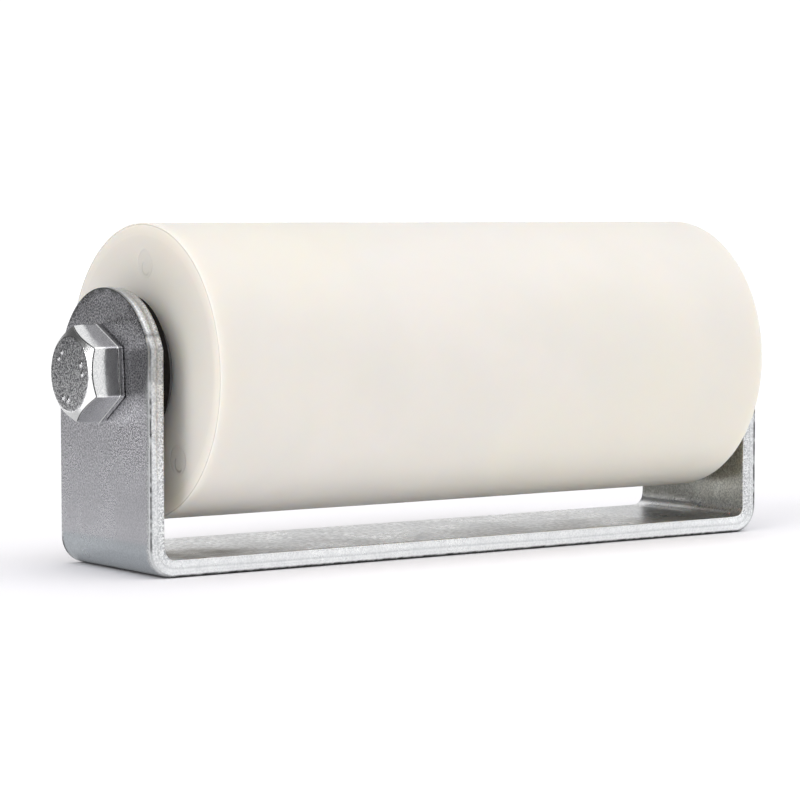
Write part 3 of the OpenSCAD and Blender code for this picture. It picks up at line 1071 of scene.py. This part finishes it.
CAMERA_AT = (-0.5243, -0.7301, 0.09966)
CAMERA_TARGET = (-0.00617, 0.00435, 0.04438)
CAMERA_ROLL = math.radians(-0.052)
CAMERA_LENS = 134.25
# How bright the surroundings are
WORLD_LEVEL = 0.86
# The surround is beyond the floor and nearer than any camera's far limit
DOME_R = 8
DOME_LEVEL = 1.1


def make_camera():
    """A long lens in front of the object, to its left and a little above its middle."""
    data = bpy.data.cameras.new("camera")
    data.lens = CAMERA_LENS
    data.sensor_width = 36
    data.clip_start = 0.05
    data.clip_end = 60
    camera = add_object("camera", data)
    look = Vector(CAMERA_TARGET) - Vector(CAMERA_AT)
    turn = look.to_track_quat("-Z", "Y").to_matrix().to_4x4()
    camera.matrix_world = Matrix.Translation(CAMERA_AT) @ turn @ Matrix.Rotation(CAMERA_ROLL, 4, "Z")
    bpy.context.scene.camera = camera


# The dark parts of the studio, as seen from the object: the side behind it on its left,
# and the place of the photographer. Each is (direction, cosines where the dark starts and
# is full, how much light is left).
DARK_PARTS = [
    (Vector((-0.60, 0.79, 0.12)).normalized(), 0.55, 0.93, 0.10),
    (Vector((-0.60, -0.80, 0.04)).normalized(), 0.82, 0.95, 0.02),
]


def soft_light(name, toward, energy, spread, mirrored=True):
    """A very broad soft light, the same all over the scene, from the given direction.
    Shiny metal shows it only where mirrored is true."""
    data = bpy.data.lights.new(name, "SUN")
    data.energy = energy
    data.angle = math.radians(spread)
    light = add_object(name, data)
    light.rotation_euler = Vector(toward).to_track_quat("Z", "Y").to_euler()
    light.visible_glossy = mirrored


# The floor's reach sets how far up the ears' outer faces it is mirrored
FLOOR_R = 0.62
# The floor that is seen lies this far above the one that lights, so that they don't meet
FLOOR_GAP = 0.01 * MM


def stage_object(name, seen, lit, shape, **sizes):
    """An object of the stage, made by one of bmesh's shapes. seen says whether the camera
    sees it, and lit whether every other ray does."""
    mesh = bpy.data.meshes.new(name)
    work = bmesh.new()
    shape(work, **sizes)
    work.to_mesh(mesh)
    work.free()
    obj = add_object(name, mesh)
    obj.visible_camera = seen
    for ray in ("diffuse", "glossy", "transmission", "volume_scatter", "shadow"):
        setattr(obj, "visible_" + ray, lit)
    return obj


def make_floor(name, height, colour, glow, seen):
    """A white disc: either the floor that the camera sees, or, when it isn't seen, the
    slightly glowing one that lights the object and shows in its metal."""
    floor = stage_object(name, seen, not seen, bmesh.ops.create_circle, cap_ends=True,
                         segments=96, radius=FLOOR_R)
    floor.location.z = height
    m = Finish(name + "_white", 0.8, specular=0.1)
    m.set("Base Color", colour)
    m.set("Emission Color", (1, 1, 1, 1))
    m.set("Emission Strength", glow)
    floor.data.materials.append(m.mat)


def make_dome():
    """A white surround that only the camera sees, so the background stays plain."""
    dome = stage_object("surround", True, False, bmesh.ops.create_uvsphere, u_segments=48,
                        v_segments=24, radius=DOME_R)
    mat = bpy.data.materials.new("surround_white")
    mat.use_nodes = True
    nodes = mat.node_tree.nodes
    nodes.clear()
    glow = nodes.new("ShaderNodeEmission")
    glow.inputs["Color"].default_value = (1, 1, 1, 1)
    glow.inputs["Strength"].default_value = DOME_LEVEL
    out = nodes.new("ShaderNodeOutputMaterial")
    mat.node_tree.links.new(glow.outputs["Emission"], out.inputs["Surface"])
    dome.data.materials.append(mat)


def make_world():
    """Soft white studio surroundings with their dark parts."""
    world = bpy.data.worlds.new("studio")
    bpy.context.scene.world = world
    world.use_nodes = True
    tree = world.node_tree
    glow = tree.nodes["Background"]
    coords = tree.nodes.new("ShaderNodeTexCoord")
    last = None
    for direction, start, full, left in DARK_PARTS:
        toward = tree.nodes.new("ShaderNodeVectorMath")
        toward.operation = "DOT_PRODUCT"
        toward.inputs[1].default_value = direction
        tree.links.new(coords.outputs["Generated"], toward.inputs[0])
        shade = tree.nodes.new("ShaderNodeMapRange")
        shade.interpolation_type = "SMOOTHSTEP"
        for key, number in (("From Min", start), ("From Max", full), ("To Min", 1.0), ("To Max", left)):
            shade.inputs[key].default_value = number
        tree.links.new(toward.outputs["Value"], shade.inputs["Value"])
        # The first part scales the full level, and the next one what that leaves
        level = tree.nodes.new("ShaderNodeMath")
        level.operation = "MULTIPLY"
        level.inputs[1].default_value = WORLD_LEVEL
        tree.links.new(shade.outputs["Result"], level.inputs[0])
        if last:
            tree.links.new(last, level.inputs[1])
        last = level.outputs[0]
    tree.links.new(last, glow.inputs["Strength"])
    glow.inputs["Color"].default_value = (1, 1, 1, 1)


bpy.context.scene.view_settings.view_transform = "Standard"
make_camera()
make_world()
make_floor("floor", 0.0, (0.93, 0.93, 0.935, 1), 0.08, seen=False)
make_floor("floor_seen", FLOOR_GAP, (0.945, 0.935, 0.965, 1), 0.0, seen=True)
make_dome()
soft_light("overhead", (0.17, -0.2, 1.0), 0.8, 60)
soft_light("front", (-0.577, -0.817, 0.05), 0.48, 25, mirrored=False)
soft_light("left_side", (-1.0, -0.25, 0.45), 1.0, 50)

black = black_washer()
dark = dark_plastic()
stand_for(make_bracket(), "bracket", "frame", zinc_bar())
stand_for(make_roller(), "roller", "roller", roller_plastic())
stand_for(make_washer(-1), "end_washer_left", "frame", black)
stand_for(make_washer(1), "end_washer_right", "frame", black)
stand_for(make_bush(-1), "bush_left", "roller", dark)
stand_for(make_bush(1), "bush_right", "roller", dark)
stand_for(make_tube(), "spacer_tube", "frame", tube_steel())
stand_for(make_bolt(), "axle_bolt", "frame", bright_zinc("bolt_zinc"))
stand_for(make_nut(), "lock_nut", "frame", bright_zinc("nut_zinc", 1700))
stand_for(make_ring(), "lock_nut_ring", "frame", white_nylon())
